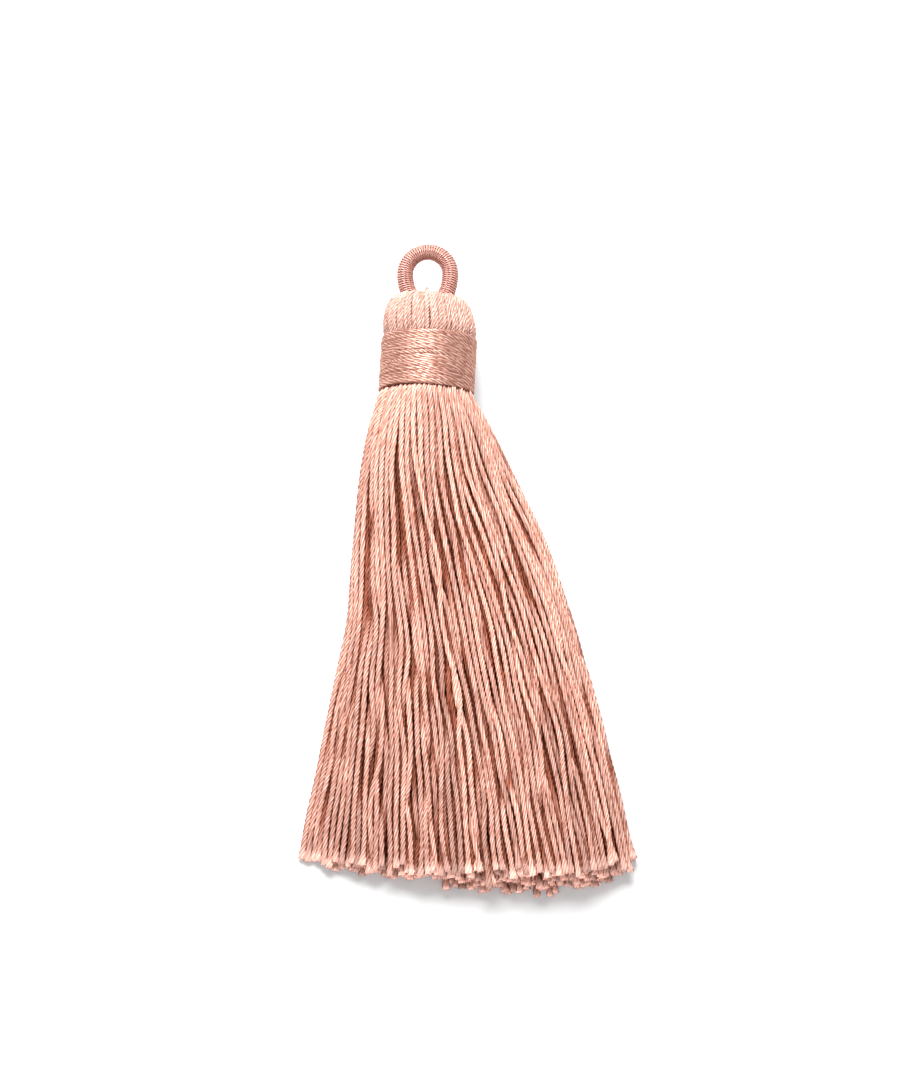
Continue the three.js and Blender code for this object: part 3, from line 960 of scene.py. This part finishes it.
def make_band():
    steps = int(BAND_TURNS * 2 * np.pi * BAND_RADIUS / STEP_LENGTH)
    share = np.linspace(0, 1, steps)
    turn = share * BAND_TURNS
    tucked = np.clip(1 - np.minimum(turn, BAND_TURNS - turn) / TUCK_TURNS, 0, 1)
    uneven = BAND_UNEVENNESS * (np.sin(share * 61) + np.sin(share * 143 + 1))
    radius = BAND_RADIUS - TUCK_DEPTH * tucked + uneven
    angle = 2 * np.pi * turn - np.pi / 2
    wander = BAND_WANDER * (np.sin(share * 97) + np.sin(share * 233 + 2))
    y = BAND_TOP + (BAND_BOTTOM - BAND_TOP) * share + wander
    line = leant(np.stack([radius * np.cos(angle), y, radius * np.sin(angle)], axis=-1))
    line[:, 2] = np.maximum(line[:, 2], BAND_THREAD_THICKNESS)
    outwards = (line - leant(np.stack([0 * y, y, 0 * y], axis=-1)))[None]
    turns = uneven_turns(1, steps)
    tubes = twisted(line[None], outwards, BAND_THREAD_WIDTH, BAND_THREAD_THICKNESS, turns)
    return thread_object("band_winding", tubes, outwards)


band = make_band()

# %% [markdown]
# ## Finishes
#
# One shader node group gives the colour and relief of any thread here. It reads five values that the meshes
# carry: where a point lies between groove and crown of a ply, how far it is on the thread's outer side, how
# light its thread is, how near a cut end it is, and how deep its thread lies among the others. From them it
# paints light and shade into the colour: a painted highlight on the crowns, and painted shade in the grooves,
# beside the neighbours and on threads that lie deep. Fine streaks along the thread stand for single fibres.
# Skirt, head, band and ring use the group with their own colours.


# %% Nodes, and finishes to start from
def feed(tree, node, inputs):
    """Links each of a node's named inputs to a socket, or sets it to a plain value."""
    for name, value in inputs.items():
        if isinstance(value, bpy.types.NodeSocket):
            tree.links.new(value, node.inputs[name])
        else:
            node.inputs[name].default_value = value


def add_node(tree, kind, inputs=None, **settings):
    """A new node, in rows of eight in the order in which they are made."""
    row, column = divmod(len(tree.nodes), 8)
    node = tree.nodes.new(kind)
    node.location = (220 * column, -320 * row)
    for key, value in settings.items():
        setattr(node, key, value)
    feed(tree, node, inputs or {})
    return node


def output(tree, kind, inputs=None, socket=0, **settings):
    """One output of a new shader node, by its number or name."""
    return add_node(tree, "ShaderNode" + kind, inputs, **settings).outputs[socket]


def new_finish(name):
    material = bpy.data.materials.new(name)
    material.use_nodes = True
    return material, material.node_tree, material.node_tree.nodes["Principled BSDF"]


# %% The shared thread look
COLORS = ("Crown Color And Highlight", "Groove Color And Shade", "Shade Tint", "Cut Color")
CONTRASTS = ("Tone Spread", "Fibre Contrast", "Patch Contrast")


def make_thread_look():
    group = bpy.data.node_groups.new("thread_look", "ShaderNodeTree")
    for in_out, kind, names in (
        ("INPUT", "NodeSocketColor", COLORS),
        ("INPUT", "NodeSocketFloat", CONTRASTS),
        ("OUTPUT", "NodeSocketColor", ("Color",)),
        ("OUTPUT", "NodeSocketFloat", ("Relief",)),
    ):
        for name in names:
            group.interface.new_socket(name, in_out=in_out, socket_type=kind)
    given = add_node(group, "NodeGroupInput").outputs

    def math_node(operation, *values):
        """A math node fed with sockets or plain numbers."""
        return output(group, "Math", dict(enumerate(values)), operation=operation)

    def mix_node(factor, first, second):
        return output(group, "Mix", {"Factor": factor, 6: first, 7: second}, 2, data_type="RGBA")

    def shaded(factor, color):
        """The colour drawn towards its product with the tint of the shade."""
        product = output(group, "VectorMath", {0: color, 1: given["Shade Tint"]}, operation="MULTIPLY")
        return mix_node(factor, color, product)

    def carried(name):
        """A value that the mesh carries at its points."""
        return output(group, "Attribute", socket="Fac", attribute_name=name)

    def gentle_step(value, start, end):
        """From 0 where the value is at its start to 1 where it is at its end."""
        inputs = {"Value": value, "From Min": start, "From Max": end}
        return output(group, "MapRange", inputs, "Result", interpolation_type="SMOOTHSTEP")

    # A place on the thread: around it as a circle, so that no seam shows, and along it
    uv = output(group, "UVMap", uv_map="thread")
    parts = add_node(group, "ShaderNodeSeparateXYZ", {0: uv}).outputs
    turn = math_node("MULTIPLY", parts["X"], 2 * math.pi)
    circle = {"X": math_node("COSINE", turn), "Y": math_node("SINE", turn)}
    place = output(group, "CombineXYZ", {**circle, "Z": parts["Y"]})

    def noise_along(around, along, detail):
        """Noise with so many features around the thread and in one turn along it, from 0 to 1."""
        stretched = output(group, "Mapping", {"Vector": place, "Scale": (around, around, along)})
        return output(group, "TexNoise", {"Vector": stretched, "Scale": 1.0, "Detail": detail}, "Fac")

    fibres = noise_along(around=4.5, along=1.6, detail=3.0)
    strokes = noise_along(around=1.6, along=4.5, detail=1.0)
    patches = noise_along(around=0.12, along=0.55, detail=1.0)

    # Groove to crown, unevenly: the crown colour carries a painted highlight and the groove colour painted
    # shade, so that some of the plies' strokes are bright and some are missing
    crown = carried("ply_crown")
    share = math_node("MULTIPLY", crown, math_node("MULTIPLY_ADD", strokes, 3.2, -0.85))
    ply = mix_node(share, given["Groove Color And Shade"], given["Crown Color And Highlight"])

    # Redder and darker where a thread lies deep, because the light reaches it only by way of its neighbours
    deep = shaded(gentle_step(carried("sunk"), start=0.25, end=0.95), ply)

    # Paler where the cut fibres spread
    cut = mix_node(math_node("MULTIPLY", carried("cut_end"), 0.7), deep, given["Cut Color"])

    # Dark beside the neighbours, where light hardly gets in between the threads, so the tint counts twice
    beside = gentle_step(carried("outer_side"), start=0.62, end=-0.05)
    edged = shaded(beside, shaded(beside, cut))

    # Lighter and darker threads by their own tone and by painted light and shade, stretches and fibres
    light = math_node("MULTIPLY_ADD", carried("tone_and_painted_light"), given["Tone Spread"], 1.0)
    for noise, contrast in ((fibres, "Fibre Contrast"), (patches, "Patch Contrast")):
        light = math_node("MULTIPLY_ADD", math_node("SUBTRACT", noise, 0.5), given[contrast], light)
    lit = output(group, "VectorMath", {0: edged, "Scale": light}, operation="SCALE")
    relief = math_node("MULTIPLY_ADD", fibres, 0.3, math_node("POWER", crown, 0.5))
    add_node(group, "NodeGroupOutput", {"Color": lit, "Relief": relief})
    print("thread_look:", len(group.nodes), "nodes")
    return group


thread_look = make_thread_look()

# %% Finishes of skirt, head, band and ring
RELIEF = 0.08  # from groove to crown, in millimetres
SHEEN, SHEEN_TINT = 0.04, (1.0, 0.74, 0.6, 1)


def thread_finish(name, colors, contrasts, roughness, silk):
    """The colours and contrasts are given in the order of the thread look's inputs."""
    material, tree, shader = new_finish(f"silky_{name}_thread")
    inputs = {socket: (*color, 1) for socket, color in zip(COLORS, colors)} | dict(zip(CONTRASTS, contrasts))
    look = add_node(tree, "ShaderNodeGroup", node_tree=thread_look)
    feed(tree, look, inputs)
    inputs = {"Strength": 1.0, "Distance": RELIEF * MM, "Height": look.outputs["Relief"]}
    bump = output(tree, "Bump", inputs)
    feed(tree, shader, {
        "Base Color": look.outputs["Color"],
        "Normal": bump,
        "Roughness": roughness,
        "Specular IOR Level": SHEEN,
        "Specular Tint": SHEEN_TINT,
        "Metallic": silk,
    })
    return material


# In each finish the crown colour is the thread's colour with a painted highlight, the groove colour is its
# colour in painted shade, and the shade tint darkens it with painted shade among the threads
skirt_finish = thread_finish(
    "skirt",
    colors=[(0.88, 0.52, 0.435), (0.4, 0.17, 0.12), (0.46, 0.27, 0.2), (0.96, 0.56, 0.47)],
    contrasts=[0.11, 0.4, 0.7], roughness=0.36, silk=0.1,
)
# The head's thread is the skirt's, painted darker because the head catches more light, and less red as a
# painted sheen
head_finish_painted_shade_and_sheen = thread_finish(
    "head",
    colors=[(0.68, 0.45, 0.385), (0.32, 0.15, 0.115), (0.6, 0.41, 0.35), (0.8, 0.5, 0.4)],
    contrasts=[0.06, 0.4, 0.4], roughness=0.36, silk=0.1,
)
band_finish = thread_finish(
    "band",
    colors=[(0.58, 0.355, 0.295), (0.25, 0.1, 0.07), (0.75, 0.6, 0.55), (0.8, 0.5, 0.4)],
    contrasts=[0.05, 0.5, 0.3], roughness=0.38, silk=0.45,
)
ring_finish = thread_finish(
    "ring",
    colors=[(0.76, 0.475, 0.41), (0.43, 0.185, 0.155), (0.7, 0.52, 0.48), (0.8, 0.5, 0.4)],
    contrasts=[0.05, 0.5, 0.4], roughness=0.34, silk=0.3,
)


# %% The finish of the imported bundle and the ring's core, which show only between threads: painted shade
def mottled_finish(name, spots, dark, light, roughness, specular):
    """Noise between two colours, with so many spots in a metre along x, y and z."""
    material, tree, shader = new_finish(name)
    place = output(tree, "TexCoord", socket="Object")
    spread = output(tree, "Mapping", {"Vector": place, "Scale": spots})
    noise = output(tree, "TexNoise", {"Vector": spread, "Scale": 1.0}, "Fac")
    ramp = add_node(tree, "ShaderNodeValToRGB", {"Fac": noise})
    for stop, color in zip(ramp.color_ramp.elements, (dark, light)):
        stop.color = (*color, 1)
    inputs = {"Base Color": ramp.outputs["Color"], "Roughness": roughness, "Specular IOR Level": specular}
    feed(tree, shader, inputs)
    return material


# Both cores are painted in the dark red colours of shade
shaded_core_finish = mottled_finish(
    "cores_in_painted_shade",
    spots=(1600, 120, 1600),
    dark=(0.24, 0.045, 0.024),
    light=(0.55, 0.19, 0.13),
    roughness=0.7,
    specular=0.2,
)

# %% Give every piece its finish and body, and hide the CAD nodes that it stands in for
for piece in skirt_pieces + head_pieces:
    finish = {"head_threads": head_finish_painted_shade_and_sheen, "gathered_core": shaded_core_finish}.get(piece.name, skirt_finish)
    piece.data.materials.append(finish)
    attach(piece, "root")
    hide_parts("thread_bundle")
for piece in ring_pieces:
    piece.data.materials.append(shaded_core_finish if piece.name == "ring_core" else ring_finish)
    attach(piece, "root")
    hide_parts("hanging_ring")
band.data.materials.append(band_finish)
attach(band, "root")
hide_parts("neck_band")

# %% [markdown]
# ## Surface, light and camera
#
# The tassel lies on a white surface under a big soft light that stands beyond its ring, so a faint shadow
# falls below the cut ends. A weak light from the side of the cut ends brightens the shadows. The camera
# looks down steeply from that side with a long lens, as the photograph was taken.

# %% The surface
UNDER_THE_TASSEL = 0.02  # so that it never lies in one plane with the undersides, in millimetres


def make_surface():
    bpy.ops.mesh.primitive_plane_add(size=4, location=(0, 0, -UNDER_THE_TASSEL * MM))
    surface = bpy.context.object
    surface.name = surface.data.name = "white_surface"
    surface.data.materials.append(mottled_finish(
        "white_card",
        spots=(900, 900, 900),
        dark=(0.64, 0.64, 0.645),
        light=(0.68, 0.68, 0.685),
        roughness=0.9,
        specular=0.1,
    ))
    surface.select_set(False)


make_surface()


# %% The light
def aimed_light(name, location, target, size, power):
    lamp = bpy.data.lights.new(name, "AREA")
    lamp.shape = "DISK"
    lamp.size = size
    lamp.energy = power
    holder = bpy.data.objects.new(name, lamp)
    holder.location = location
    direction = holder.location.copy()
    direction.xyz = [end - start for start, end in zip(location, target)]
    holder.rotation_euler = direction.to_track_quat("-Z", "Y").to_euler()
    bpy.context.scene.collection.objects.link(holder)


scene = bpy.context.scene
world = bpy.data.worlds.new("soft_room")
world.use_nodes = True
feed(world.node_tree, world.node_tree.nodes["Background"], {"Color": (1, 0.995, 0.99, 1), "Strength": 0.5})
scene.world = world
aimed_light("soft_key", location=(-0.025, 0.19, 0.185), target=(0, 0, 0), size=0.2, power=2.1)
aimed_light("weak_fill", location=(0, -0.33, 0.09), target=(0, -0.04, 0), size=0.3, power=1.3)
print("lights:", [lamp.name for lamp in bpy.data.lights])

# %% The camera
ELEVATION = math.radians(79)
DISTANCE = 368.21
TARGET = np.array([2.69, -22.39, 3.0])
back = np.array([0.0, -math.cos(ELEVATION), math.sin(ELEVATION)])
camera_data = bpy.data.cameras.new("camera")
camera_data.lens = 100
camera_data.sensor_width = 36
camera_data.clip_start = 0.01
camera = bpy.data.objects.new("camera", camera_data)
camera.location = placed(TARGET + DISTANCE * back)
camera.rotation_euler = (math.pi / 2 - ELEVATION, 0, 0)
scene.collection.objects.link(camera)
scene.camera = camera
scene.view_settings.view_transform = "Standard"
print("the camera looks from", DISTANCE, "mm away")
